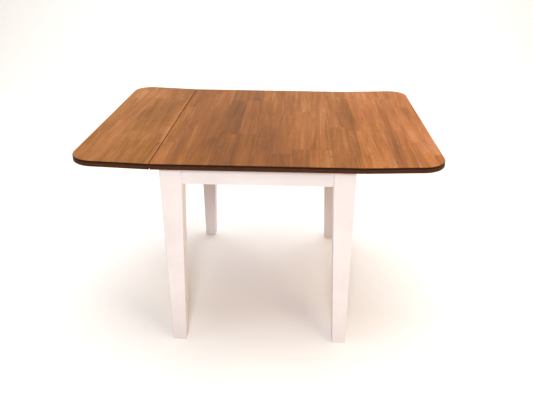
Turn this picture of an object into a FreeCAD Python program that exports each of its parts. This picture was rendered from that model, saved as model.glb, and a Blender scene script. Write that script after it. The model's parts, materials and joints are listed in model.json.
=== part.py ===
"""A drop leaf table, in millimetres.

X runs along the table from the left leaf to the right leaf, Y from the front to the back and Z up.
The origin is on the floor, under the middle of the table. The table stands open: both leaves are
raised on their stays, a little above level.
"""
import FreeCAD, Part
import os

import Sketcher
from FreeCAD import Placement, Rotation, Vector

DRIVING_SIZES = [
    ("table_height", 760, "floor to the upper face of the centre panel"),
    ("top_thickness", 22, "centre panel and leaves"),
    ("top_depth", 980, "front edge to back edge"),
    ("centre_length", 718, "centre panel, joint to joint"),
    ("open_length", 1282, "end to end with both leaves up"),
    ("left_joint_gap", 4.0, "between the centre panel and the left leaf, both level"),
    ("right_joint_gap", 1.3, "between the centre panel and the right leaf, both level"),
    ("leaf_lift", 2, "degrees that a raised leaf stands above level"),
    ("corner_radius", 82, "outer corners of the leaves, in plan"),
    ("edge_round", 2.5, "outer edges of the top"),
    ("joint_arris", 0.4, "edges along the joints of the top"),
    ("frame_length", 676, "outer faces of the legs, along X"),
    ("frame_depth", 908, "outer faces of the legs, along Y"),
    ("leg_top", 75, "leg section beside the aprons, square"),
    ("leg_foot", 50, "leg section at the floor, square"),
    ("taper_drop", 10, "from the lower edge of the aprons to the start of the taper"),
    ("foot_chamfer", 3, "round the underside of a leg"),
    ("paint_arris", 1.5, "eased edges of legs and aprons"),
    ("apron_height", 69, "aprons"),
    ("apron_thickness", 20, "aprons"),
    ("apron_setback", 9, "outer face of a leg to the outer face of an apron"),
    ("dowel_radius", 4, "dowels between legs and aprons"),
    ("dowel_length", 50, "half in the leg, half in the apron"),
    ("dowel_spacing", 34, "between the two dowels of one joint"),
    ("block_height", 50, "corner blocks"),
    ("block_thickness", 20, "corner blocks, across the corner"),
    ("block_gap", 3, "between a leg and its corner block"),
    ("block_drop", 8, "from the underside of the top to a corner block"),
    ("block_screw_inset", 6, "from a corner block's edge to its screws, along an apron"),
    ("block_screw_spacing", 30, "between the two screws at one end of a corner block"),
    ("bolt_radius", 4, "M8 hanger bolts"),
    ("bolt_depth", 45, "length of a hanger bolt inside its leg"),
    ("bolt_tail", 4, "end of a hanger bolt beyond its nut"),
    ("washer_radius", 9, "hanger bolt washers"),
    ("washer_thickness", 1.6, "hanger bolt washers"),
    ("nut_radius", 7.5, "hanger bolt nuts, across the corners"),
    ("nut_thickness", 6.5, "hanger bolt nuts"),
    ("plate_thickness", 2, "all the steel plates"),
    ("plate_corner", 4, "rounded corners of the steel plates"),
    ("axis_drop", 4.5, "from the underside of the top to the hinge axes"),
    ("barrel_radius", 4.4, "hinge barrels"),
    ("pin_radius", 2, "hinge pins"),
    ("running_clearance", 0.05, "round a pin or rivet, in the piece that turns"),
    ("hinge_width", 60, "along Y"),
    ("knuckle_gap", 0.2, "between knuckles, along Y"),
    ("flap_start", 5.5, "from the hinge axis to the solid part of a flap"),
    ("fixed_flap_reach", 24, "from the hinge axis, under the centre panel"),
    ("leaf_flap_reach", 45, "from the hinge axis, under the leaf"),
    ("hinge_spacing", 340, "between the hinges of one leaf"),
    ("near_screw_place", 16, "from the hinge axis to a leaf flap's two near screws"),
    ("far_screw_place", 34, "from the hinge axis to a leaf flap's far screw"),
    ("short_screw_radius", 1.75, "screws in hinges, plates and brackets"),
    ("short_screw_length", 16, "screws in hinges, plates and brackets"),
    ("long_screw_radius", 2, "screws in the corner blocks"),
    ("long_screw_length", 36, "screws in the corner blocks"),
    ("stay_spacing", 340, "between the two stays of one leaf"),
    ("stay_pivot_inset", 15, "from the hinge axis to the stay pivot, towards the apron"),
    ("stay_pivot_drop", 50.5, "from the hinge axis to the stay pivot, downwards"),
    ("stay_reach", 144, "from the stay pivot to the middle of the tip"),
    ("stay_rise", 20.25, "degrees above level of an open stay"),
    ("stay_width", 10, "flat bar of a stay"),
    ("stay_thickness", 3, "flat bar of a stay"),
    ("stay_boss_radius", 8, "round end of a stay at its pivot, and of the bracket ears"),
    ("rivet_radius", 2.5, "stay pivots"),
    ("rivet_head_radius", 4.5, "stay pivots"),
    ("rivet_head", 1.5, "thickness of a rivet's head"),
    ("ear_gap", 0.3, "between a stay and each ear of its bracket"),
    ("bracket_width", 44, "stay brackets, along Y"),
    ("bracket_height", 36, "stay brackets, along Z"),
    ("bracket_rise", 7, "from the stay pivot up to the middle of its bracket"),
    ("bracket_screws_across", 28, "between the screws of a stay bracket, along Y"),
    ("bracket_screws_up", 20, "between the screws of a stay bracket, along Z"),
    ("tip_radius", 7, "nylon tips of the stays"),
    ("tip_width", 9, "nylon tips of the stays, along Y"),
    ("striker_place", 120, "from the hinge axis to the middle of a striker plate"),
    ("striker_length", 30, "striker plates, along X"),
    ("striker_width", 36, "striker plates, along Y"),
    ("striker_screw_spacing", 23, "between the two screws of a striker plate"),
    ("ridge_place", 8, "from the middle of a striker plate to its stop ridge"),
    ("ridge_width", 2, "stop ridges"),
    ("ridge_height", 1.2, "stop ridges"),
    ("angle_reach", 30, "both arms of the top fixing angles"),
    ("angle_width", 20, "top fixing angles"),
    ("angle_screw_place", 19.5, "from the corner of a fixing angle to either of its screws"),
    ("end_angle_place", 130, "from the middle of an end apron to its fixing angles"),
    ("side_angle_place", 90, "from the middle of a side apron to its fixing angles"),
]

SIDES = {"left": -1, "right": 1}

doc = FreeCAD.newDocument("drop_leaf_table")
sheet = doc.addObject("Spreadsheet::Sheet", "Sizes")
for row, (alias, value, meaning) in enumerate(DRIVING_SIZES, start=1):
    sheet.set(f"A{row}", meaning)
    sheet.set(f"B{row}", str(value))
    sheet.setAlias(f"B{row}", alias)
doc.recompute()

nodes = []


def size(alias):
    """The number in one cell of the sheet."""
    return float(sheet.get(alias))


def node(item):
    """Marks a finished sub-part, whose label is its name."""
    item.Label = item.Name
    nodes.append(item)
    return item


def bind(item, **formulas):
    """Ties an object's sizes to cells of the sheet, which the formulas name."""
    for name, formula in formulas.items():
        item.setExpression(name, formula)


def block(name, length, width, height, corner):
    """A rectangular block: its sizes along X, Y and Z are formulas, its lowest corner a place."""
    item = doc.addObject("Part::Box", name)
    bind(item, Length=length, Width=width, Height=height)
    item.Placement = Placement(Vector(*corner), Rotation())
    return item


def rod(name, radius, length, start, direction=(0, 0, 1)):
    """A round rod from one end along a direction: its radius and length are formulas."""
    item = doc.addObject("Part::Cylinder", name)
    bind(item, Radius=radius, Height=length)
    item.Placement = Placement(Vector(*start), Rotation(Vector(0, 0, 1), Vector(*direction)))
    return item


def joined(name, pieces):
    """One solid made of several overlapping ones."""
    item = doc.addObject("Part::MultiFuse", name)
    item.Shapes = pieces
    item.Refine = True
    return item


def bored(name, blank, tools):
    """A blank with the shapes of the tools taken out of it."""
    cutter = doc.addObject("Part::Compound", name + "_bores")
    cutter.Links = tools
    item = doc.addObject("Part::Cut", name)
    item.Base = blank
    item.Tool = cutter
    return item


def copies(name, master, places):
    """A group of separate solids, each a linked copy of the master at its own place."""
    links = []
    for number, place in enumerate(places, start=1):
        link = doc.addObject("App::Link", f"{name}_{number}")
        link.LinkedObject = master
        link.Placement = place
        links.append(link)
    group = doc.addObject("Part::Compound", name)
    group.Links = links
    return group


def at(x, y, z, rotation=Rotation()):
    """A place, turned or not."""
    return Placement(Vector(x, y, z), rotation)


def turned(axis, degrees):
    """A rotation about an axis through the origin."""
    return Rotation(Vector(*axis), degrees)


# ---------------------------------------------------------------- boards

def sketch_rectangle(body, name, length, width):
    """A rectangle centred on the body's origin, in its XY plane."""
    sketch = body.newObject("Sketcher::SketchObject", name)
    plane = next(item for item in body.Origin.OriginFeatures if item.Role == "XY_Plane")
    sketch.AttachmentSupport = (plane, [""])
    sketch.MapMode = "FlatFace"
    corners = [Vector(-10, -10, 0), Vector(10, -10, 0), Vector(10, 10, 0), Vector(-10, 10, 0)]
    for start, end in zip(corners, corners[1:] + corners[:1]):
        sketch.addGeometry(Part.LineSegment(start, end), False)
    for line in range(4):
        sketch.addConstraint(Sketcher.Constraint("Coincident", line, 2, (line + 1) % 4, 1))
    for line in (0, 2):
        sketch.addConstraint(Sketcher.Constraint("Horizontal", line))
        sketch.addConstraint(Sketcher.Constraint("Vertical", line + 1))
    sketch.addConstraint(Sketcher.Constraint("Symmetric", 0, 1, 2, 1, -1, 1))
    dimensions = ((0, "DistanceX", "Length", length), (1, "DistanceY", "Width", width))
    for line, kind, label, formula in dimensions:
        index = sketch.addConstraint(Sketcher.Constraint(kind, line, 1, line, 2, 20))
        sketch.renameConstraint(index, label)
        sketch.setExpression("Constraints." + label, formula)
    return sketch


def board(name, length, width, height):
    """A flat board: a rectangle centred on the origin and padded up from Z = 0."""
    body = doc.addObject("PartDesign::Body", name)
    sketch = sketch_rectangle(body, name + "_outline", length, width)
    pad = body.newObject("PartDesign::Pad", name + "_pad")
    pad.Profile = sketch
    bind(pad, Length=height)
    doc.recompute()
    return body


def ease(body, kind, label, amount, chosen):
    """Rounds or chamfers the edges of a body that a test chooses by their middle and direction."""
    base = body.Tip
    names = []
    for number, edge in enumerate(base.Shape.Edges, start=1):
        middle = edge.valueAt((edge.FirstParameter + edge.LastParameter) / 2)
        along = edge.tangentAt((edge.FirstParameter + edge.LastParameter) / 2)
        if chosen(middle, along):
            names.append(f"Edge{number}")
    feature = body.newObject("PartDesign::" + kind, body.Name + "_" + label)
    feature.Base = (base, names)
    bind(feature, **{"Radius" if kind == "Fillet" else "Size": amount})
    doc.recompute()
    return feature


def upright(along):
    """Whether an edge runs mostly up and down."""
    return abs(along.z) > 0.9


def plate(name, length, width, place, chosen):
    """A steel plate centred on its place, with the corners rounded that a test chooses."""
    body = board(name, length, width, "Sizes.plate_thickness")
    ease(body, "Fillet", "corners", "Sizes.plate_corner",
         lambda middle, along: upright(along) and chosen(middle))
    body.Placement = place
    return body


# ---------------------------------------------------------------- screws

# The cross recess of a screw, in shank radii.
RECESS_LENGTH = 2.6
RECESS_WIDTH = 0.5
RECESS_DEPTH = 0.8


def screw_blank(name, radius, length):
    """A countersunk screw with no recess: its head's face is at Z = 0 and its point is up."""
    head = doc.addObject("Part::Cone", name + "_head")
    bind(head, Radius1=f"2 * {radius}", Radius2=radius, Height=radius)
    shank = rod(name + "_shank", radius, f"{length} - 2 * {radius}", (0, 0, 0))
    point = doc.addObject("Part::Cone", name + "_point")
    bind(point, Radius1=radius, Radius2=f"0.2 * {radius}", Height=f"2 * {radius}")
    point.setExpression("Placement.Base.z", f"{length} - 2 * {radius}")
    return joined(name, [head, shank, point])


def screw(name, blank, radius):
    """The finished screw: a cross recess in the head of its blank."""
    unit = size(radius.split(".")[1])
    slots = []
    for turn in (0, 90):
        slot = block(f"{name}_slot_{turn}", f"{RECESS_LENGTH} * {radius}", f"{RECESS_WIDTH} * {radius}",
                     f"{RECESS_DEPTH} * {radius}", (0, 0, 0))
        corner = at(-RECESS_LENGTH * unit / 2, -RECESS_WIDTH * unit / 2, 0)
        slot.Placement = at(0, 0, 0, turned((0, 0, 1), turn)).multiply(corner)
        slots.append(slot)
    return bored(name, blank, [joined(name + "_cross", slots)])


short_blank = screw_blank("short_blank", "Sizes.short_screw_radius", "Sizes.short_screw_length")
long_blank = screw_blank("long_blank", "Sizes.long_screw_radius", "Sizes.long_screw_length")
short_screw = screw("short_screw", short_blank, "Sizes.short_screw_radius")
long_screw = screw("long_screw", long_blank, "Sizes.long_screw_radius")


def screws(name, master, blank, places, group_place=Placement()):
    """A node of screws, and the bores that they need in whatever they hold."""
    group = node(copies(name, master, places))
    group.Placement = group_place
    bores = copies(name + "_blanks", blank, places)
    bores.Placement = group_place
    return bores


# ---------------------------------------------------------------- places shared by the pieces

underside = size("table_height") - size("top_thickness")
half_length = size("frame_length") / 2
half_depth = size("frame_depth") / 2
apron_bottom = underside - size("apron_height")
apron_middle = underside - size("apron_height") / 2
apron_inner = size("apron_setback") + size("apron_thickness")
block_middle = underside - size("block_drop") - size("block_height") / 2
axis_height = underside - size("axis_drop")

# Each corner's frame has its origin at the leg's outer corner, on the floor, and the leg along
# its own +X and +Y.
CORNERS = {
    "front_left": at(-half_length, -half_depth, 0),
    "front_right": at(half_length, -half_depth, 0, turned((0, 0, 1), 90)),
    "back_right": at(half_length, half_depth, 0, turned((0, 0, 1), 180)),
    "back_left": at(-half_length, half_depth, 0, turned((0, 0, 1), 270)),
}


def side_place(side):
    """The hinge frame of one leaf: origin on the hinge axis, +X outwards under the leaf."""
    gap = size(side + "_joint_gap")
    reach = size("centre_length") / 2 + gap / 2
    turn = 0 if side == "right" else 180
    return at(SIDES[side] * reach, 0, axis_height, turned((0, 0, 1), turn))


def leaf_place(side):
    """The hinge frame turned up with the raised leaf."""
    return side_place(side).multiply(at(0, 0, 0, turned((0, 1, 0), -size("leaf_lift"))))


# ---------------------------------------------------------------- legs, aprons and their joints

def dowel_places():
    """The dowels of one corner, in the corner's frame: two along X and two along Y."""
    start = size("leg_top") - size("dowel_length") / 2
    middle = size("apron_setback") + size("apron_thickness") / 2
    places = []
    for rise in (-size("dowel_spacing") / 2, size("dowel_spacing") / 2):
        height = apron_middle + rise
        places.append(at(start, middle, height, turned((0, 1, 0), 90)))
        places.append(at(middle, start, height, turned((1, 0, 0), -90)))
    return places


def bolt_place(distance):
    """A place on the diagonal of a corner's frame, turned so that its Z runs out of the leg."""
    step = distance / 2 ** 0.5
    outwards = Rotation(Vector(0, 0, 1), Vector(1, 1, 0))
    return at(step, step, block_middle, outwards)


def block_screw_places():
    """Two screws at each end of a corner block, square to its inner face and into the aprons."""
    room_face = (block_start() + size("block_thickness")) * 2 ** 0.5
    entry = block_start() * 2 ** 0.5 + size("block_screw_inset") - apron_inner
    step = (room_face - apron_inner - entry) / 2
    inwards = Rotation(Vector(0, 0, 1), Vector(-1, -1, 0))
    places = []
    near = apron_inner + step
    far = entry + step
    for rise in (-size("block_screw_spacing") / 2, size("block_screw_spacing") / 2):
        places.append(at(far, near, block_middle + rise, inwards))
        places.append(at(near, far, block_middle + rise, inwards))
    return places


def block_start():
    """Distance along the diagonal from a leg's outer corner to its corner block."""
    return size("leg_top") * 2 ** 0.5 + size("block_gap")


def everywhere(places):
    """Places in a corner's frame, repeated at the four corners."""
    return [corner.multiply(place) for corner in CORNERS.values() for place in places]


def leg_section(body, name, width, height, inset):
    """A square with eased corners, in the corner's frame: one level of a leg."""
    sketch = body.newObject("Sketcher::SketchObject", name)
    plane = next(item for item in body.Origin.OriginFeatures if item.Role == "XY_Plane")
    sketch.AttachmentSupport = (plane, [""])
    sketch.MapMode = "FlatFace"
    for axis, formula in (("x", inset), ("y", inset), ("z", height)):
        sketch.setExpression("AttachmentOffset.Base." + axis, formula)
    outline = [Vector(2, 0, 0), Vector(38, 0, 0), Vector(40, 2, 0), Vector(40, 38, 0),
               Vector(38, 40, 0), Vector(2, 40, 0), Vector(0, 38, 0), Vector(0, 2, 0)]
    for start, end in zip(outline, outline[1:] + outline[:1]):
        sketch.addGeometry(Part.LineSegment(start, end), False)
    for line in range(8):
        sketch.addConstraint(Sketcher.Constraint("Coincident", line, 2, (line + 1) % 8, 1))
    for line in (0, 4):
        sketch.addConstraint(Sketcher.Constraint("Horizontal", line))
        sketch.addConstraint(Sketcher.Constraint("Vertical", line + 2))
    # Corner lines 1, 3, 5 and 7 step right or left, then up or down, by the size of the arris.
    for line, x_points, y_points in ((1, (1, 2), (1, 2)), (3, (2, 1), (1, 2)),
                                     (5, (2, 1), (2, 1)), (7, (1, 2), (2, 1))):
        for kind, points in (("DistanceX", x_points), ("DistanceY", y_points)):
            index = sketch.addConstraint(Sketcher.Constraint(kind, line, points[0], line, points[1], 2))
            sketch.renameConstraint(index, f"{kind}{line}")
            sketch.setExpression(f"Constraints.{kind}{line}", "Sizes.paint_arris")
    sketch.addConstraint(Sketcher.Constraint("PointOnObject", 0, 1, -1))
    sketch.addConstraint(Sketcher.Constraint("PointOnObject", 6, 1, -2))
    for kind, first, second, label in (("DistanceX", 6, 2, "Length"), ("DistanceY", 0, 4, "Width")):
        index = sketch.addConstraint(Sketcher.Constraint(kind, first, 1, second, 1, 40))
        sketch.renameConstraint(index, label)
        sketch.setExpression("Constraints." + label, width)
    return sketch


def leg(name, corner, bores):
    """Square beside the aprons, then tapered on its two inner faces down to the foot."""
    top = "Sizes.table_height - Sizes.top_thickness"
    taper_top = f"{top} - Sizes.apron_height - Sizes.taper_drop"
    levels = [
        ("Sizes.leg_foot - 2 * Sizes.foot_chamfer", "0", "Sizes.foot_chamfer"),
        ("Sizes.leg_foot", "Sizes.foot_chamfer", "0"),
        ("Sizes.leg_top", taper_top, "0"),
        ("Sizes.leg_top", top, "0"),
    ]
    body = doc.addObject("PartDesign::Body", name + "_blank")
    sections = []
    for number, (width, height, inset) in enumerate(levels):
        sections.append(leg_section(body, f"{name}_section_{number}", width, height, inset))
    doc.recompute()
    loft = body.newObject("PartDesign::AdditiveLoft", name + "_loft")
    loft.Profile = sections[0]
    loft.Sections = sections[1:]
    loft.Ruled = True
    body.Placement = corner
    return node(bored(name, body, bores))


def apron(name, length, place, bores):
    """A rail between two legs: its length runs along its own X and it stands on edge."""
    body = board(name + "_blank", length, "Sizes.apron_thickness", "Sizes.apron_height")
    ease(body, "Fillet", "arris", "Sizes.paint_arris",
         lambda middle, along: middle.z < 0.01 and abs(along.x) > 0.9)
    body.Placement = place
    return node(bored(name, body, bores))


def corner_block(name, corner, bores):
    """A mitred block across a corner, flat against the two aprons."""
    item = doc.addObject("Part::Wedge", name + "_blank")
    inner = "(Sizes.apron_setback + Sizes.apron_thickness)"
    half_near = f"((Sizes.leg_top - {inner}) * sqrt(2) + Sizes.block_gap)"
    half_far = f"({half_near} + Sizes.block_thickness)"
    bind(item, Xmin=f"-{half_near}", Xmax=half_near, X2min=f"-{half_far}", X2max=half_far)
    bind(item, Ymin="0", Ymax="Sizes.block_thickness")
    bind(item, Zmin="0", Z2min="0", Zmax="Sizes.block_height", Z2max="Sizes.block_height")
    step = block_start() / 2 ** 0.5
    low = block_middle - size("block_height") / 2
    item.Placement = corner.multiply(at(step, step, low, turned((0, 0, 1), -45)))
    return node(bored(name, item, bores))


# ---------------------------------------------------------------- top fixing angles

def angle_master():
    """A steel angle: one arm under the top, one arm down the inner face of an apron."""
    across = block("angle_flat", "Sizes.angle_reach", "Sizes.angle_width", "Sizes.plate_thickness",
                   (0, -size("angle_width") / 2, -size("plate_thickness")))
    down = block("angle_upright", "Sizes.plate_thickness", "Sizes.angle_width", "Sizes.angle_reach",
                 (0, -size("angle_width") / 2, -size("angle_reach")))
    holes = copies("angle_holes", short_blank, angle_screw_places())
    return bored("angle_master", joined("angle_blank", [across, down]), [holes])


def angle_screw_places():
    """One screw up into the top and one into the apron, in the angle's frame."""
    mark = size("angle_screw_place")
    thick = size("plate_thickness")
    return [at(mark, 0, -thick), at(thick, 0, -mark, turned((0, 1, 0), -90))]


def angle_places():
    """Two angles on each apron."""
    end = half_depth - apron_inner
    side = half_length - apron_inner
    places = []
    for sign in (-1, 1):
        on_end = sign * size("end_angle_place")
        on_side = sign * size("side_angle_place")
        places.append(at(on_end, -end, underside, turned((0, 0, 1), 90)))
        places.append(at(on_end, end, underside, turned((0, 0, 1), -90)))
        places.append(at(-side, on_side, underside))
        places.append(at(side, on_side, underside, turned((0, 0, 1), 180)))
    return places


# ---------------------------------------------------------------- hinges

KNUCKLES = 5


def flap_master(name, knuckles, direction, reach, bore, screw_places):
    """One flap of a hinge: a plate, and the knuckles that it is rolled into."""
    width = size("hinge_width")
    low = size("axis_drop") - size("plate_thickness")
    start = size("flap_start")
    middle_x = direction * (start + size(reach.split(".")[1])) / 2
    pieces = [plate(name + "_plate", f"{reach} - Sizes.flap_start", "Sizes.hinge_width",
                    at(middle_x, 0, low), lambda middle: middle.x * direction > 0)]
    pitch = width / KNUCKLES
    length = f"Sizes.hinge_width / {KNUCKLES} - Sizes.knuckle_gap"
    for number in knuckles:
        edge = -width / 2 + number * pitch + size("knuckle_gap") / 2
        pieces.append(rod(f"{name}_knuckle_{number}", "Sizes.barrel_radius", length,
                          (0, edge, 0), (0, 1, 0)))
        tab = 0 if direction > 0 else -start
        pieces.append(block(f"{name}_tab_{number}", "Sizes.flap_start", length,
                            "Sizes.plate_thickness", (tab, edge, low)))
    hole = rod(name + "_pin_hole", bore, "2 * Sizes.hinge_width", (0, -width, 0), (0, 1, 0))
    holes = copies(name + "_screw_holes", short_blank, screw_places)
    return bored(name, joined(name + "_blank", pieces), [hole, holes])


def fixed_flap_screws():
    """Three screws in a row, up into the centre panel."""
    mark = -(size("fixed_flap_reach") + size("flap_start")) / 2
    low = size("axis_drop") - size("plate_thickness")
    return [at(mark, sign * size("hinge_width") / 3, low) for sign in (-1, 0, 1)]


def leaf_flap_screws():
    """Three screws in a triangle, up into the leaf."""
    low = size("axis_drop") - size("plate_thickness")
    pair = [at(size("near_screw_place"), sign * size("hinge_width") / 3, low) for sign in (-1, 1)]
    return pair + [at(size("far_screw_place"), 0, low)]


def hinge_rows():
    """The middles of one leaf's three hinges."""
    return [at(0, row * size("hinge_spacing"), 0) for row in (-1, 0, 1)]


def within(rows, places):
    """Places repeated in each of several frames."""
    return [row.multiply(place) for row in rows for place in places]


# ---------------------------------------------------------------- stays

def stay_rows():
    """The middles of one leaf's two stays."""
    return [at(0, row * size("stay_spacing") / 2, 0) for row in (-1, 1)]


def pivot():
    """The stay's pivot in the hinge frame."""
    return at(-size("stay_pivot_inset"), 0, -size("stay_pivot_drop"))


def apron_face(side):
    """The outer face of the side apron, in the hinge frame."""
    face = half_length - size("apron_setback")
    return face - size("centre_length") / 2 - size(side + "_joint_gap") / 2


def bracket_screws(side):
    """Four screws through a stay bracket into the apron."""
    face = apron_face(side) + size("plate_thickness")
    middle = size("bracket_rise") - size("stay_pivot_drop")
    places = []
    for across in (-size("bracket_screws_across") / 2, size("bracket_screws_across") / 2):
        for up in (-size("bracket_screws_up") / 2, size("bracket_screws_up") / 2):
            places.append(at(face, across, middle + up, turned((0, 1, 0), -90)))
    return places


def bracket_master(side):
    """A plate on the apron with two ears that hold the stay's rivet."""
    name = side + "_bracket"
    thick = size("plate_thickness")
    face = apron_face(side)
    width = size("bracket_width")
    boss = size("stay_boss_radius")
    pivot_x = pivot().Base.x
    pivot_z = pivot().Base.z
    middle = pivot_z + size("bracket_rise")
    pieces = [plate(name + "_plate", "Sizes.bracket_height", "Sizes.bracket_width",
                    at(face, 0, middle, turned((0, 1, 0), 90)), lambda middle: True)]
    clear = size("stay_thickness") / 2 + size("ear_gap")
    ear_length = (f"(Sizes.centre_length + Sizes.{side}_joint_gap - Sizes.frame_length) / 2"
                  " + Sizes.apron_setback - Sizes.stay_pivot_inset")
    for sign, start in ((-1, -clear - thick), (1, clear)):
        pieces.append(block(f"{name}_ear_{sign + 1}", ear_length, "Sizes.plate_thickness",
                            "2 * Sizes.stay_boss_radius", (face, start, pivot_z - boss)))
        pieces.append(rod(f"{name}_ear_end_{sign + 1}", "Sizes.stay_boss_radius", "Sizes.plate_thickness",
                          (pivot_x, start, pivot_z), (0, 1, 0)))
    hole = rod(name + "_rivet_hole", "Sizes.rivet_radius", "Sizes.bracket_width",
               (pivot_x, -width / 2, pivot_z), (0, 1, 0))
    holes = copies(name + "_screw_holes", short_blank, bracket_screws(side))
    return bored(name, joined(name + "_blank", pieces), [hole, holes])


def rivet_master():
    """The stay's pivot: a shank with a head at each end, along Y."""
    shank = size("stay_thickness") + 2 * size("ear_gap") + 2 * size("plate_thickness")
    pieces = [rod("rivet_shank", "Sizes.rivet_radius",
                  "Sizes.stay_thickness + 2 * Sizes.ear_gap + 2 * Sizes.plate_thickness",
                  (0, -shank / 2, 0), (0, 1, 0))]
    for sign in (-1, 1):
        pieces.append(rod(f"rivet_head_{sign + 1}", "Sizes.rivet_head_radius", "Sizes.rivet_head",
                          (0, sign * shank / 2, 0), (0, sign, 0)))
    return joined("rivet_master", pieces)


def stay_bar(name, bore):
    """A flat bar with a round boss at its pivot, along its own X."""
    thick = size("stay_thickness")
    bar = block(name + "_bar", "Sizes.stay_reach", "Sizes.stay_thickness", "Sizes.stay_width",
                (0, -thick / 2, -size("stay_width") / 2))
    boss = rod(name + "_boss", "Sizes.stay_boss_radius", "Sizes.stay_thickness",
               (0, -thick / 2, 0), (0, 1, 0))
    end = rod(name + "_end", "Sizes.stay_width / 2", "Sizes.stay_thickness",
              (size("stay_reach"), -thick / 2, 0), (0, 1, 0))
    blank = joined(name + "_blank", [bar, boss, end])
    hole = rod(name + "_hole", bore, "2 * Sizes.stay_thickness", (0, -thick, 0), (0, 1, 0))
    return bored(name, blank, [hole])


def stay_place(side, row):
    """A stay's own frame: origin at its pivot, X along the raised bar."""
    raised = at(0, 0, 0, turned((0, 1, 0), -size("stay_rise")))
    return side_place(side).multiply(row).multiply(pivot()).multiply(raised)


def tip(name, bar):
    """A nylon cap over the end of a stay."""
    width = size("tip_width")
    blank = rod(name + "_blank", "Sizes.tip_radius", "Sizes.tip_width",
                (size("stay_reach"), -width / 2, 0), (0, 1, 0))
    return bored(name, blank, [bar])


def striker_screws():
    """Two screws beside the path of a stay's tip."""
    low = size("axis_drop") - size("plate_thickness")
    mark = size("striker_place") - size("ridge_place") / 2
    return [at(mark, sign * size("striker_screw_spacing") / 2, low) for sign in (-1, 1)]


def striker_master():
    """A wear plate under the leaf, with a low ridge that stops the stay's tip."""
    low = size("axis_drop") - size("plate_thickness")
    base = plate("striker_plate", "Sizes.striker_length", "Sizes.striker_width",
                 at(size("striker_place"), 0, low), lambda middle: True)
    ridge = block("striker_ridge", "Sizes.ridge_width", "Sizes.tip_width", "Sizes.ridge_height",
                  (size("striker_place") + size("ridge_place"), -size("tip_width") / 2,
                   low - size("ridge_height")))
    holes = copies("striker_holes", short_blank, striker_screws())
    return bored("striker_master", joined("striker_blank", [base, ridge]), [holes])


# ---------------------------------------------------------------- the frame

dowel_bar = rod("dowel_bar", "Sizes.dowel_radius", "Sizes.dowel_length", (0, 0, 0))
dowels = node(copies("apron_dowels", dowel_bar, everywhere(dowel_places())))
block_bores = screws("corner_block_screws", long_screw, long_blank, everywhere(block_screw_places()))

bolt_length = ("Sizes.bolt_depth + Sizes.block_gap + Sizes.block_thickness"
               " + Sizes.washer_thickness + Sizes.nut_thickness + Sizes.bolt_tail")
bolt_start = size("leg_top") * 2 ** 0.5 - size("bolt_depth")
bolt_bar = rod("bolt_bar", "Sizes.bolt_radius", bolt_length, (0, 0, 0))
bolts = node(copies("hanger_bolts", bolt_bar, everywhere([bolt_place(bolt_start)])))
disc = rod("washer_disc", "Sizes.washer_radius", "Sizes.washer_thickness", (0, 0, 0))
disc_hole = rod("washer_hole", "Sizes.bolt_radius", "3 * Sizes.washer_thickness",
                (0, 0, -size("washer_thickness")))
washer = bored("washer_master", disc, [disc_hole])
washer_start = block_start() + size("block_thickness")
node(copies("hanger_bolt_washers", washer, everywhere([bolt_place(washer_start)])))
hexagon = doc.addObject("Part::Prism", "nut_hexagon")
hexagon.Polygon = 6
bind(hexagon, Circumradius="Sizes.nut_radius", Height="Sizes.nut_thickness")
nut_hole = rod("nut_hole", "Sizes.bolt_radius", "3 * Sizes.nut_thickness",
               (0, 0, -size("nut_thickness")))
nut = bored("nut_master", hexagon, [nut_hole])
nut_start = washer_start + size("washer_thickness")
node(copies("hanger_bolt_nuts", nut, everywhere([bolt_place(nut_start)])))

angle = angle_master()
node(copies("top_fixing_angles", angle, angle_places()))
angle_bores = screws("top_fixing_screws", short_screw, short_blank,
                     within(angle_places(), angle_screw_places()))

bracket_bores = {}
for side in SIDES:
    bracket_places = within(stay_rows(), bracket_screws(side))
    bracket_bores[side] = screws(side + "_stay_bracket_screws", short_screw, short_blank,
                                 bracket_places, side_place(side))

for corner_name, corner in CORNERS.items():
    leg(corner_name + "_leg", corner, [dowels, bolts])
    corner_block(corner_name + "_corner_block", corner, [bolts, block_bores])

end_length = "Sizes.frame_length - 2 * Sizes.leg_top"
side_length = "Sizes.frame_depth - 2 * Sizes.leg_top"
end_line = half_depth - size("apron_setback") - size("apron_thickness") / 2
side_line = half_length - size("apron_setback") - size("apron_thickness") / 2
apron("front_apron", end_length, at(0, -end_line, apron_bottom), [dowels, block_bores, angle_bores])
apron("back_apron", end_length, at(0, end_line, apron_bottom), [dowels, block_bores, angle_bores])
for side, sign in SIDES.items():
    apron(side + "_apron", side_length, at(sign * side_line, 0, apron_bottom, turned((0, 0, 1), 90)),
          [dowels, block_bores, angle_bores, bracket_bores[side]])

# ---------------------------------------------------------------- the leaves and what carries them

fixed_flap = flap_master("fixed_flap", (0, 2, 4), -1, "Sizes.fixed_flap_reach", "Sizes.pin_radius",
                         fixed_flap_screws())
leaf_flap = flap_master("leaf_flap", (1, 3), 1, "Sizes.leaf_flap_reach",
                        "Sizes.pin_radius + Sizes.running_clearance", leaf_flap_screws())
pin = rod("pin_master", "Sizes.pin_radius", "Sizes.hinge_width", (0, 0, 0))
along_the_axis = at(0, -size("hinge_width") / 2, 0, turned((1, 0, 0), -90))
rivet = rivet_master()
striker = striker_master()
panel_bores = [angle_bores]

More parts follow.
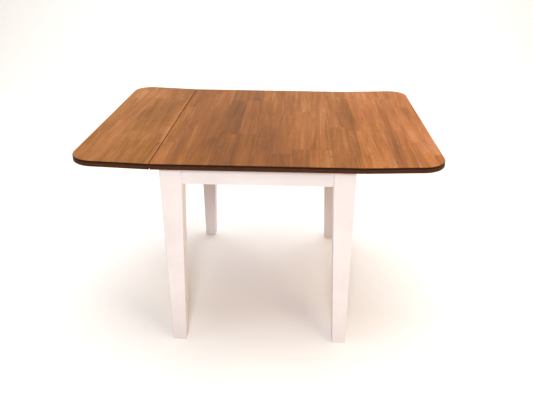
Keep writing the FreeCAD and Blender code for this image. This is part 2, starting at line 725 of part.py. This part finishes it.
for side in SIDES:
    frame = side_place(side)
    raised = leaf_place(side)

    node(copies(side + "_hinge_fixed_flaps", fixed_flap, hinge_rows())).Placement = frame
    node(copies(side + "_hinge_pins", pin, within(hinge_rows(), [along_the_axis]))).Placement = frame
    panel_bores.append(screws(side + "_hinge_panel_screws", short_screw, short_blank,
                              within(hinge_rows(), fixed_flap_screws()), frame))

    node(copies(side + "_hinge_leaf_flaps", leaf_flap, hinge_rows())).Placement = raised
    node(copies(side + "_strikers", striker, stay_rows())).Placement = raised
    leaf_places = within(hinge_rows(), leaf_flap_screws())
    striker_places = within(stay_rows(), striker_screws())
    node(copies(side + "_hinge_leaf_screws", short_screw, leaf_places)).Placement = raised
    node(copies(side + "_striker_screws", short_screw, striker_places)).Placement = raised

    gap = f"Sizes.{side}_joint_gap"
    length = f"(Sizes.open_length - Sizes.centre_length) / 2 - {gap}"
    leaf = board(side + "_leaf_blank", length, "Sizes.top_depth", "Sizes.top_thickness")
    leaf_length = (size("open_length") - size("centre_length")) / 2 - size(side + "_joint_gap")
    joint_x = -leaf_length / 2
    ease(leaf, "Fillet", "corners", "Sizes.corner_radius",
         lambda middle, along: upright(along) and middle.x > 0)
    ease(leaf, "Fillet", "edges", "Sizes.edge_round",
         lambda middle, along: not upright(along) and middle.x > joint_x + 0.01)
    ease(leaf, "Chamfer", "joint", "Sizes.joint_arris",
         lambda middle, along: abs(along.y) > 0.9 and middle.x < joint_x + 0.01)
    leaf.Placement = at(size(side + "_joint_gap") / 2 - joint_x, 0, size("axis_drop"))
    leaf_bores = copies(side + "_leaf_bores", short_blank, leaf_places + striker_places)
    node(bored(side + "_leaf", leaf, [leaf_bores])).Placement = raised

    node(copies(side + "_stay_brackets", bracket_master(side), stay_rows())).Placement = frame
    node(copies(side + "_stay_rivets", rivet, within(stay_rows(), [pivot()]))).Placement = frame
    for row_name, row in zip(("front", "back"), stay_rows()):
        bar = stay_bar(f"{side}_{row_name}_stay", "Sizes.rivet_radius + Sizes.running_clearance")
        solid_bar = stay_bar(f"{side}_{row_name}_tip_seat", "Sizes.rivet_radius")
        node(bar).Placement = stay_place(side, row)
        node(tip(f"{side}_{row_name}_stay_tip", solid_bar)).Placement = stay_place(side, row)

panel = board("centre_panel_blank", "Sizes.centre_length", "Sizes.top_depth", "Sizes.top_thickness")
ease(panel, "Fillet", "edges", "Sizes.edge_round",
     lambda middle, along: not upright(along) and abs(middle.x) < size("centre_length") / 2 - 0.01)
ease(panel, "Chamfer", "joints", "Sizes.joint_arris",
     lambda middle, along: abs(along.y) > 0.9 and abs(middle.x) > size("centre_length") / 2 - 0.01)
panel.Placement = at(0, 0, underside)
node(bored("centre_panel", panel, panel_bores))

# ---------------------------------------------------------------- checks and files

doc.recompute()
for item in doc.Objects:
    if {"Invalid", "Error"} & set(item.State):
        raise RuntimeError(f"{item.Name} did not compute: {item.State}")
for item in nodes:
    if item.Shape.isNull() or not item.Shape.isValid() or not item.Shape.Solids:
        raise RuntimeError(f"{item.Label} has no valid solid")

os.makedirs("parts", exist_ok=True)
for item in nodes:
    item.Shape.exportStep(f"parts/{item.Label}.step")
    print(f"{item.Label:32s} {len(item.Shape.Solids):3d} solids {item.Shape.Volume / 1000:10.1f} cm3")
print(f"{len(nodes)} sub-parts")
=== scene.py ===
"""The looks of a drop leaf table: stained stave-glued top, off-white painted frame, steel fittings."""
import json
import math

import bpy
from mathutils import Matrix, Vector


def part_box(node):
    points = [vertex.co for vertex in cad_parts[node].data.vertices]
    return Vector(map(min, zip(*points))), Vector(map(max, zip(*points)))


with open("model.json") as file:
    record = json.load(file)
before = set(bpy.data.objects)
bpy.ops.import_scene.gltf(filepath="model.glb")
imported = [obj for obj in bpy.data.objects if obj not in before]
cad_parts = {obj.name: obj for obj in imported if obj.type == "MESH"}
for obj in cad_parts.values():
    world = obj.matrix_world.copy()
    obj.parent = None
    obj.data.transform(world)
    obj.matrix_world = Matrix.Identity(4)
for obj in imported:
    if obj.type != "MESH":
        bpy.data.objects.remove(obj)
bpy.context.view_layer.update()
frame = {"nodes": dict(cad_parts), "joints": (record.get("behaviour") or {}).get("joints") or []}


def srgb(red, green, blue):
    """A linear colour from the usual 0 to 255 screen values."""
    channels = []
    for value in (red, green, blue):
        share = value / 255
        channels.append(share / 12.92 if share <= 0.04045 else ((share + 0.055) / 1.055) ** 2.4)
    return (*channels, 1)


class Graph:
    """A material's node tree, with short ways to add the nodes used here."""

    def __init__(self, name):
        self.material = bpy.data.materials.new(name)
        self.material.use_nodes = True
        self.tree = self.material.node_tree
        self.tree.nodes.clear()
        self.shader = self.tree.nodes.new("ShaderNodeBsdfPrincipled")
        output = self.tree.nodes.new("ShaderNodeOutputMaterial")
        self.tree.links.new(self.shader.outputs["BSDF"], output.inputs["Surface"])
        self.places = self.tree.nodes.new("ShaderNodeTexCoord")

    def put(self, socket, value):
        """Gives a socket a number, a colour or another node's output."""
        if isinstance(value, bpy.types.NodeSocket):
            self.tree.links.new(value, socket)
        else:
            socket.default_value = value

    def math(self, operation, first, second=0.0):
        node = self.tree.nodes.new("ShaderNodeMath")
        node.operation = operation
        for socket, value in zip(node.inputs, (first, second)):
            self.put(socket, value)
        return node.outputs[0]

    def add(self, first, second):
        return self.math("ADD", first, second)

    def times(self, first, second):
        return self.math("MULTIPLY", first, second)

    def inverse(self, share):
        """1 where the share is 0, and 0 where it is 1."""
        return self.math("SUBTRACT", 1.0, share)

    def spread(self, value, weight):
        """A value of 0 to 1 made to swing to both sides of 0."""
        return self.times(self.add(value, -0.5), weight)

    def size_of(self, value):
        return self.math("ABSOLUTE", value)

    def split(self, vector):
        node = self.tree.nodes.new("ShaderNodeSeparateXYZ")
        self.put(node.inputs[0], vector)
        return node.outputs[0], node.outputs[1], node.outputs[2]

    def join(self, x=0.0, y=0.0, z=0.0):
        node = self.tree.nodes.new("ShaderNodeCombineXYZ")
        for socket, value in zip(node.inputs, (x, y, z)):
            self.put(socket, value)
        return node.outputs[0]

    def shift(self, vector, offset):
        """A place moved by an offset."""
        node = self.tree.nodes.new("ShaderNodeVectorMath")
        self.put(node.inputs[0], vector)
        self.put(node.inputs[1], offset)
        return node.outputs[0]

    def noise(self, vector, scale, detail, roughness, distortion=0.0):
        """Smooth noise of 0 to 1; scale is roughly how many lumps it has per metre."""
        node = self.tree.nodes.new("ShaderNodeTexNoise")
        self.put(node.inputs["Vector"], vector)
        node.inputs["Scale"].default_value = scale
        node.inputs["Detail"].default_value = detail
        node.inputs["Roughness"].default_value = roughness
        node.inputs["Distortion"].default_value = distortion
        return node.outputs["Fac"]

    def dice(self, vector):
        """Three random numbers for each whole-number place."""
        node = self.tree.nodes.new("ShaderNodeTexWhiteNoise")
        node.noise_dimensions = "3D"
        self.put(node.inputs["Vector"], vector)
        return self.split(node.outputs["Color"])

    def cells(self, vector, scale):
        """Distance to the nearest of many scattered points."""
        node = self.tree.nodes.new("ShaderNodeTexVoronoi")
        self.put(node.inputs["Vector"], vector)
        node.inputs["Scale"].default_value = scale
        return node.outputs["Distance"]

    def smooth(self, value, low, high):
        """0 below low, 1 above high and smooth between them."""
        node = self.tree.nodes.new("ShaderNodeMapRange")
        node.interpolation_type = "SMOOTHSTEP"
        self.put(node.inputs["Value"], value)
        node.inputs["From Min"].default_value = low
        node.inputs["From Max"].default_value = high
        return node.outputs[0]

    def fit(self, value, low, high):
        """A value of 0 to 1 spread over low to high."""
        node = self.tree.nodes.new("ShaderNodeMapRange")
        self.put(node.inputs["Value"], value)
        node.inputs["To Min"].default_value = low
        node.inputs["To Max"].default_value = high
        return node.outputs[0]

    def mix(self, share, first, second, blend="MIX"):
        node = self.tree.nodes.new("ShaderNodeMix")
        node.data_type = "RGBA"
        node.blend_type = blend
        self.put(node.inputs[0], share)
        self.put(node.inputs[6], first)
        self.put(node.inputs[7], second)
        return node.outputs[2]

    def ramp(self, value, stops):
        """A colour read off a row of stops, each a place and a colour."""
        node = self.tree.nodes.new("ShaderNodeValToRGB")
        self.put(node.inputs[0], value)
        elements = node.color_ramp.elements
        while len(elements) < len(stops):
            elements.new(0.5)
        for element, (place, colour) in zip(elements, stops):
            element.position = place
            element.color = colour
        return node.outputs[0]

    def bump(self, height, depth):
        """Shades the surface as if it rose by the height times the depth, which is in metres."""
        node = self.tree.nodes.new("ShaderNodeBump")
        node.inputs["Strength"].default_value = 1.0
        node.inputs["Distance"].default_value = depth
        self.put(node.inputs["Height"], height)
        self.put(self.shader.inputs["Normal"], node.outputs[0])

    def surface(self, colour, roughness, **constants):
        """Finishes the material; constants are set on the shader's own sockets."""
        self.put(self.shader.inputs["Base Color"], colour)
        self.put(self.shader.inputs["Roughness"], roughness)
        for name, value in constants.items():
            self.shader.inputs[name.replace("_", " ")].default_value = value
        return self.material


# ---------------------------------------------------------------- stained top

TOP_THICKNESS = 0.022
LEAF_LIFT = math.radians(2)
STAVE_WIDTH = 0.0705
STAVE_LENGTH = 0.46
STAVE_PHASE = 0.35
GLUE_LINE = 0.0006

# Numbers that pick this table's own random pattern.
STAVE_SEED = (5.2, 1.3)
PIECE_SEED = 8.1
START_RANGE = 9.0
GRAIN_SPREAD = (7.0, 5.0, 3.0)
SOAK_PLACE = 1.9
KNOT_PLACE = (0.35, 0.21, 0.0)

# How fast the wood changes along a stave, where 1 is as fast as across it.
GRAIN_STRETCH = 0.045
SOAK_STRETCH = 0.35
KNOT_STRETCH = 0.5
FLECK_STRETCH = 0.22
# The ripple runs the other way: this is how fast it changes across a stave.
RIPPLE_STRETCH = 0.5
# The whole range of the grain's slope to its stave.
GRAIN_SLANT = 0.08

# Noise layers: lumps per metre, detail and roughness.
SWELL = (8.0, 1.5, 0.45)
STREAK = (34.0, 2.0, 0.5)
FINE = (150.0, 3.0, 0.6)
FIBRE = (640.0, 2.0, 0.6)
PORE = (900.0, 1.0, 0.5)
SOAK = (5.5, 2.0, 0.5)
CLOUD = (2.1, 1.0, 0.5)
RIPPLE = (34.0, 2.0, 0.5)
EDGE_GRAIN = (60.0, 3.0, 0.6)
POLISH = (90.0, 2.0, 0.5)
RINGS_PER_SWELL = 19.0

# How light the stain is, from 0 to 1, and how much each layer changes that.
MIDDLE_SHADE = 0.57
PIECE_WEIGHT = 0.09
STAVE_WEIGHT = 0.13
STREAK_WEIGHT = 0.75
FINE_WEIGHT = 0.6
SOAK_WEIGHT = 0.6
CLOUD_WEIGHT = 0.4
RIPPLE_WEIGHT = 0.12
DARK_ZONE_WEIGHT = -0.26
# Where the dark zone comes in and goes out across the table, and how its right side slants.
DARK_ZONE_START = (-0.54, -0.36)
DARK_ZONE_END = (-0.16, 0.10)
DARK_ZONE_SLANT = 0.28

# From stain that soaked in dark to bare-looking light wood.
STAIN = [
    (0.10, srgb(99, 55, 8)),
    (0.40, srgb(133, 77, 17)),
    (0.62, srgb(160, 99, 44)),
    (0.95, srgb(190, 132, 92)),
]
RED_WOOD = srgb(166, 98, 54)
RING_BROWN = srgb(104, 60, 28)
FIBRE_BROWN = srgb(100, 58, 26)
PORE_BROWN = srgb(70, 38, 18)
KNOT_BROWN = srgb(62, 33, 18)
FLECK_BROWN = srgb(84, 47, 24)
GLUE_BROWN = srgb(92, 54, 30)
EDGE_DARK = srgb(50, 26, 12)
EDGE_LIGHT = srgb(84, 46, 24)
ARRIS_BLACK = srgb(28, 18, 14)
JOINT_BROWN = srgb(118, 62, 26)

# What the stain's colour is multiplied by on each board.
CENTRE_TINT = (0.92, 0.92, 0.90, 1)
LEFT_TINT = (0.96, 1.03, 1.10, 1)
RIGHT_TINT = (1.09, 1.06, 1.14, 1)

# Each mark is darkest up to the first reach and gone at the second, as shares of the spacing.
KNOTS_PER_METRE = 6.0
KNOT_REACH = (0.008, 0.036)
FLECKS_PER_METRE = 34.0
FLECK_REACH = (0.04, 0.15)
# Edges that face sideways nearer to the table's middle than this are in the joints.
JOINT_FACES_WITHIN = (0.44, 0.50)
WOOD_RELIEF = 0.00022


def edge_stain(graph, colour, x, y, z, hinge_x, underside, lift):
    """The colour of the top, with darker stain on the board's edges and a near-black band along the
    top of each edge, under the arris.
    """
    leaning = math.copysign(math.sin(lift), -hinge_x)
    rise = graph.add(graph.times(graph.add(x, -hinge_x), leaning),
                     graph.times(graph.add(z, -underside), math.cos(lift)))
    height = graph.math("DIVIDE", rise, TOP_THICKNESS)
    normal = graph.split(graph.places.outputs["Normal"])
    sideways = graph.size_of(normal[0])
    steep = graph.inverse(graph.smooth(graph.size_of(normal[2]), 0.35, 0.8))
    edge_grain = graph.noise(graph.join(x, y, graph.times(z, 3.0)), *EDGE_GRAIN)
    stain = graph.mix(edge_grain, EDGE_DARK, EDGE_LIGHT)
    # A near-black band along the top of each edge, under the arris.
    stain = graph.mix(graph.smooth(height, 0.50, 0.80), stain, ARRIS_BLACK)
    # The faces in the joints are a warmer brown.
    inward = graph.inverse(graph.smooth(graph.size_of(x), *JOINT_FACES_WITHIN))
    joint_face = graph.times(graph.smooth(sideways, 0.6, 0.9), inward)
    stain = graph.mix(joint_face, stain, JOINT_BROWN)
    return graph.mix(steep, colour, stain)


def stave_wood(name, hinge_x, underside, lift, tint):
    """Stained staves glued edge to edge and end to end, with darker stain on the edges.

    The board's underside passes close to hinge_x at the height underside, and a leaf stands at
    the angle lift to the centre panel.
    """
    graph = Graph(name)
    position = graph.places.outputs["Object"]
    x, y, z = graph.split(position)

    across = graph.add(graph.math("DIVIDE", x, STAVE_WIDTH), STAVE_PHASE)
    stave = graph.math("FLOOR", across)
    start_shift, _, stave_tone = graph.dice(graph.join(stave, *STAVE_SEED))
    along = graph.add(graph.math("DIVIDE", y, STAVE_LENGTH), graph.times(start_shift, START_RANGE))
    piece = graph.math("FLOOR", along)
    tone, hue, turn = graph.dice(graph.join(stave, piece, PIECE_SEED))

    # Each piece of wood takes its grain from a place of its own, along the stave.
    grain_x = graph.add(x, graph.times(y, graph.spread(turn, GRAIN_SLANT)))
    offset = graph.join(*(graph.times(part, reach)
                          for part, reach in zip((tone, hue, turn), GRAIN_SPREAD)))
    grain = graph.shift(graph.join(grain_x, graph.times(y, GRAIN_STRETCH), z), offset)

    swell = graph.noise(grain, *SWELL)
    rings = graph.math("PINGPONG", graph.times(swell, RINGS_PER_SWELL), 1.0)
    ring_line = graph.smooth(rings, 0.55, 1.0)
    fibre = graph.noise(grain, *FIBRE)
    pores = graph.smooth(graph.noise(grain, *PORE), 0.62, 0.76)

    # How light the stain is, from 0 to 1.
    soak_place = graph.join(graph.add(x, SOAK_PLACE), graph.times(y, SOAK_STRETCH), z)
    ripple_place = graph.join(graph.times(x, RIPPLE_STRETCH), y, z)
    shade = graph.spread(tone, PIECE_WEIGHT)
    for layer, weight in ((stave_tone, STAVE_WEIGHT),
                          (graph.noise(grain, *STREAK), STREAK_WEIGHT),
                          (graph.noise(grain, *FINE), FINE_WEIGHT),
                          (graph.noise(soak_place, *SOAK), SOAK_WEIGHT),
                          (graph.noise(position, *CLOUD), CLOUD_WEIGHT),
                          (graph.noise(ripple_place, *RIPPLE), RIPPLE_WEIGHT)):
        shade = graph.add(shade, graph.spread(layer, weight))
    # The stain took darkest left of the middle and faded out to both sides.
    fade_place = graph.times(graph.add(x, graph.times(y, DARK_ZONE_SLANT)), -1.0)
    dark_zone = graph.times(graph.smooth(x, *DARK_ZONE_START),
                            graph.smooth(fade_place, *DARK_ZONE_END))
    shade = graph.add(shade, graph.times(dark_zone, DARK_ZONE_WEIGHT))
    shade = graph.add(shade, MIDDLE_SHADE)

    # A few small knots and dark flecks, stretched along the grain.
    knot_place = graph.shift(graph.join(grain_x, graph.times(y, KNOT_STRETCH), z),
                             graph.join(*KNOT_PLACE))
    knot = graph.inverse(graph.smooth(graph.cells(knot_place, KNOTS_PER_METRE), *KNOT_REACH))
    fleck_place = graph.shift(graph.join(grain_x, graph.times(y, FLECK_STRETCH), z), offset)
    fleck = graph.inverse(graph.smooth(graph.cells(fleck_place, FLECKS_PER_METRE), *FLECK_REACH))

    # Glue lines between staves and at their ends.
    side_gap = graph.times(graph.math("PINGPONG", across, 0.5), STAVE_WIDTH)
    end_gap = graph.times(graph.math("PINGPONG", along, 0.5), STAVE_LENGTH)
    gap = graph.math("MINIMUM", side_gap, end_gap)
    glue = graph.inverse(graph.smooth(gap, GLUE_LINE * 0.4, GLUE_LINE * 1.6))

    colour = graph.ramp(shade, STAIN)
    for share, strength, brown in ((hue, 0.25, RED_WOOD),
                                   (ring_line, 0.20, RING_BROWN),
                                   (graph.smooth(fibre, 0.5, 0.75), 0.16, FIBRE_BROWN),
                                   (pores, 0.30, PORE_BROWN),
                                   (knot, 0.70, KNOT_BROWN),
                                   (fleck, 0.50, FLECK_BROWN),
                                   (glue, 0.35, GLUE_BROWN)):
        colour = graph.mix(graph.times(share, strength), colour, brown)
    colour = graph.mix(1.0, colour, tint, "MULTIPLY")
    colour = edge_stain(graph, colour, x, y, z, hinge_x, underside, lift)

    relief = graph.add(graph.times(fibre, 0.35), graph.times(ring_line, -0.25))
    relief = graph.add(relief, graph.times(pores, -0.9))
    relief = graph.add(relief, graph.times(glue, -0.8))
    graph.bump(relief, WOOD_RELIEF)
    roughness = graph.fit(graph.noise(grain, *POLISH), 0.42, 0.58)
    return graph.surface(colour, roughness, Specular_IOR_Level=0.08)


# ---------------------------------------------------------------- painted frame

# Noise layers: lumps per metre, detail, roughness and distortion.
BRUSH = (420.0, 3.0, 0.55)
BOARD_GRAIN = (90.0, 3.0, 0.6, 0.4)
PAINT_CLOUD = (5.0, 3.0, 0.55)
SPECKS_PER_METRE = 24.0
PAINT_DEEP = srgb(226, 214, 211)
PAINT_LIGHT = srgb(233, 222, 219)
GRAIN_SHOWING = srgb(222, 205, 190)
SPECK_BROWN = srgb(190, 172, 156)
PAINT_RELIEF = 0.00028

SOFTWOOD_SWELL = (26.0, 1.5, 0.5)
SOFTWOOD_FIBRE = (700.0, 2.0, 0.6)
SOFTWOOD_RINGS = 15.0
SOFTWOOD_LIGHT = srgb(214, 178, 132)
SOFTWOOD_RING = srgb(178, 132, 86)
SOFTWOOD_DARK = srgb(150, 108, 70)
SOFTWOOD_RELIEF = 0.0003


def stretched_along(graph, axis, amount):
    """The place on a piece, squeezed along one axis so that noise there is drawn out."""
    parts = list(graph.split(graph.places.outputs["Object"]))
    parts[axis] = graph.times(parts[axis], amount)
    return graph.join(*parts)


def painted_wood(name, lengthwise):
    """Off-white paint brushed along a board; lengthwise is the board's own axis, 0 to 2."""
    graph = Graph(name)
    position = graph.places.outputs["Object"]
    stretched = stretched_along(graph, lengthwise, 0.05)
    brush = graph.noise(stretched, *BRUSH)
    grain = graph.noise(stretched, *BOARD_GRAIN)
    cloud = graph.noise(position, *PAINT_CLOUD)
    speck = graph.inverse(graph.smooth(graph.cells(position, SPECKS_PER_METRE), 0.02, 0.045))

    colour = graph.mix(graph.smooth(cloud, 0.35, 0.7), PAINT_DEEP, PAINT_LIGHT)
    colour = graph.mix(graph.times(graph.smooth(grain, 0.5, 0.8), 0.16), colour, GRAIN_SHOWING)
    colour = graph.mix(graph.times(speck, 0.18), colour, SPECK_BROWN)
    roughness = graph.fit(grain, 0.36, 0.52)
    relief = graph.add(graph.times(brush, 0.6), graph.times(grain, 0.6))
    graph.bump(relief, PAINT_RELIEF)
    return graph.surface(colour, roughness, Specular_IOR_Level=0.5)


def bare_wood(name, lengthwise):
    """Sanded softwood, for the blocks and dowels inside the frame."""
    graph = Graph(name)
    stretched = stretched_along(graph, lengthwise, 0.12)
    swell = graph.times(graph.noise(stretched, *SOFTWOOD_SWELL), SOFTWOOD_RINGS)
    rings = graph.smooth(graph.math("PINGPONG", swell, 1.0), 0.45, 1.0)
    fibre = graph.noise(stretched, *SOFTWOOD_FIBRE)
    colour = graph.mix(rings, SOFTWOOD_LIGHT, SOFTWOOD_RING)
    colour = graph.mix(graph.times(fibre, 0.3), colour, SOFTWOOD_DARK)
    graph.bump(graph.add(fibre, graph.times(rings, 0.4)), SOFTWOOD_RELIEF)
    return graph.surface(colour, graph.fit(fibre, 0.62, 0.8), Specular_IOR_Level=0.3)


# ---------------------------------------------------------------- fittings

# Noise layers: lumps per metre, detail and roughness.
SCRATCH = (1500.0, 3.0, 0.65)
DULL_PATCH = (70.0, 4.0, 0.6)
MOULD_GRAIN = (1800.0, 2.0, 0.5)
NYLON_PATCH = (120.0, 2.0, 0.5)
STEEL_RELIEF = 0.00012
NYLON_RELIEF = 0.00008


def plated_steel(name, bright, dull, roughness_low, roughness_high):
    """Rolled sheet steel with a thin plated finish: fine scratches and dull patches."""
    graph = Graph(name)
    position = graph.places.outputs["Object"]
    x, y, z = graph.split(position)
    scratch = graph.noise(graph.join(x, graph.times(y, 0.06), z), *SCRATCH)
    patch = graph.noise(position, *DULL_PATCH)
    colour = graph.mix(graph.smooth(patch, 0.35, 0.7), bright, dull)
    roughness = graph.fit(graph.times(graph.add(patch, scratch), 0.5), roughness_low, roughness_high)
    graph.bump(graph.add(graph.times(scratch, 0.5), graph.times(patch, 0.6)), STEEL_RELIEF)
    return graph.surface(colour, roughness, Metallic=1.0)


def moulded_nylon(name):
    """Slightly translucent white nylon with a fine moulded grain."""
    graph = Graph(name)
    position = graph.places.outputs["Object"]
    grain = graph.noise(position, *MOULD_GRAIN)
    patch = graph.noise(position, *NYLON_PATCH)
    colour = graph.mix(patch, srgb(226, 222, 208), srgb(240, 237, 226))
    graph.bump(grain, NYLON_RELIEF)
    return graph.surface(colour, graph.fit(grain, 0.42, 0.58),
                         Subsurface_Weight=0.08, Subsurface_Scale=0.002)


# ---------------------------------------------------------------- materials on the pieces

CORNERS = ("front_left", "front_right", "back_left", "back_right")


def paint_node(name, material):
    for slot in frame["nodes"][name].material_slots:
        slot.material = material


def joint_place(name):
    """Where a joint's axis is, in metres."""
    joint = next(joint for joint in frame["joints"] if joint["name"] == name)
    return Vector(joint["pos_m"])


def dress_top():
    panel_low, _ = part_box("centre_panel")
    underside = panel_low[2]
    # The centre panel is level, so it makes no difference where its hinge is.
    paint_node("centre_panel", stave_wood("top_wood_centre", 1.0, underside, 0.0, CENTRE_TINT))
    for side, tint in (("left", LEFT_TINT), ("right", RIGHT_TINT)):
        hinge_x = joint_place(side + "_leaf_fold").x
        paint_node(side + "_leaf", stave_wood("top_wood_" + side, hinge_x, underside, LEAF_LIFT, tint))


def dress_frame():
    upright = painted_wood("paint_legs", 2)
    crosswise = painted_wood("paint_end_aprons", 0)
    lengthwise = painted_wood("paint_side_aprons", 1)
    for corner in CORNERS:
        paint_node(corner + "_leg", upright)
    for name in ("front_apron", "back_apron"):
        paint_node(name, crosswise)
    for name in ("left_apron", "right_apron"):
        paint_node(name, lengthwise)
    blocks = bare_wood("block_wood", 0)
    for corner in CORNERS:
        paint_node(corner + "_corner_block", blocks)
    paint_node("apron_dowels", bare_wood("dowel_wood", 1))


def dress_fittings():
    bronzed = plated_steel("hinge_steel", srgb(176, 160, 132), srgb(138, 122, 98), 0.28, 0.5)
    zinc = plated_steel("zinc_plate", srgb(198, 198, 194), srgb(160, 160, 156), 0.25, 0.45)
    nylon = moulded_nylon("nylon")
    for name in frame["nodes"]:
        if name.endswith("_stay_tip"):
            paint_node(name, nylon)
        elif "screws" in name or name.startswith("hanger_bolt"):
            paint_node(name, zinc)
        elif any(word in name for word in ("hinge", "stay", "striker", "angles")):
            paint_node(name, bronzed)


# ---------------------------------------------------------------- floor, light and camera

def pale_floor():
    """A plain pale floor that curves up into a wall behind the table."""
    width, front, back, rise, bend = 12.0, -6.0, 4.2, 4.0, 1.2
    steps = 16
    profile = [(front, 0.0), (back - bend, 0.0)]
    for step in range(1, steps + 1):
        angle = math.pi / 2 * step / steps
        profile.append((back - bend + bend * math.sin(angle), bend - bend * math.cos(angle)))
    profile.append((back, rise))
    points = [(sign * width / 2, y, z) for sign in (-1, 1) for y, z in profile]
    count = len(profile)
    faces = [(i, count + i, count + i + 1, i + 1) for i in range(count - 1)]
    mesh = bpy.data.meshes.new("floor")
    mesh.from_pydata(points, [], faces)
    for polygon in mesh.polygons:
        polygon.use_smooth = True
    floor = bpy.data.objects.new("floor", mesh)
    bpy.context.collection.objects.link(floor)
    graph = Graph("floor_paint")
    tone = graph.noise(graph.places.outputs["Object"], 1.3, 2.0, 0.5)
    colour = graph.mix(tone, srgb(250, 248, 245), srgb(253, 251, 249))
    mesh.materials.append(graph.surface(colour, 0.85, Specular_IOR_Level=0.15))


# Each lamp's name, place, target, size, power in watts and colour.
LAMPS = [
    ("overhead", (0, 1.2, 4.6), (0, 1.0, 0), (6.0, 6.0), 290, (0.96, 0.99, 1.0)),
    ("key", (0.1, -3.4, 2.35), (0, 0, 0.6), (0.6, 0.6), 72, (0.84, 0.92, 1.0)),
    ("warm_lamp", (1.69, -2.04, 2.6), (0, 0, 0.6), (1.0, 1.0), 18, (1.0, 0.76, 0.42)),
    ("warm_side", (3.0, -0.5, 0.9), (0, 0, 0.4), (1.5, 1.5), 14, (1.0, 0.58, 0.30)),
]
ROOM_COLOUR = (1.0, 0.84, 0.74, 1)
ROOM_STRENGTH = 0.28


def soft_light(name, place, target, size, power, colour):
    light = bpy.data.lights.new(name, "AREA")
    light.shape = "RECTANGLE"
    light.size, light.size_y = size
    light.energy = power
    light.color = colour
    lamp = bpy.data.objects.new(name, light)
    bpy.context.collection.objects.link(lamp)
    lamp.location = place
    lamp.rotation_euler = (Vector(target) - Vector(place)).to_track_quat("-Z", "Y").to_euler()


def lights():
    """Soft light from overhead, a key beside the camera and two warm lamps on the right."""
    world = bpy.data.worlds.new("studio")
    world.use_nodes = True
    background = world.node_tree.nodes["Background"]
    background.inputs["Color"].default_value = ROOM_COLOUR
    background.inputs["Strength"].default_value = ROOM_STRENGTH
    scene = bpy.context.scene
    scene.world = world
    scene.view_settings.view_transform = "Standard"
    for lamp in LAMPS:
        soft_light(*lamp)


def camera():
    """At eye height and a little right of the middle, looking down at the table."""
    lens = bpy.data.cameras.new("camera")
    lens.sensor_width = 36.0
    lens.lens = 38.66
    lens.shift_x = -0.0341
    lens.shift_y = 0.0107
    lens.clip_end = 50
    eye = bpy.data.objects.new("camera", lens)
    bpy.context.collection.objects.link(eye)
    eye.location = (0.1323, -2.2539, 1.4743)
    eye.rotation_euler = (1.11776, -0.01131, 0.02656)
    bpy.context.scene.camera = eye


dress_top()
dress_frame()
dress_fittings()
pale_floor()
lights()
camera()
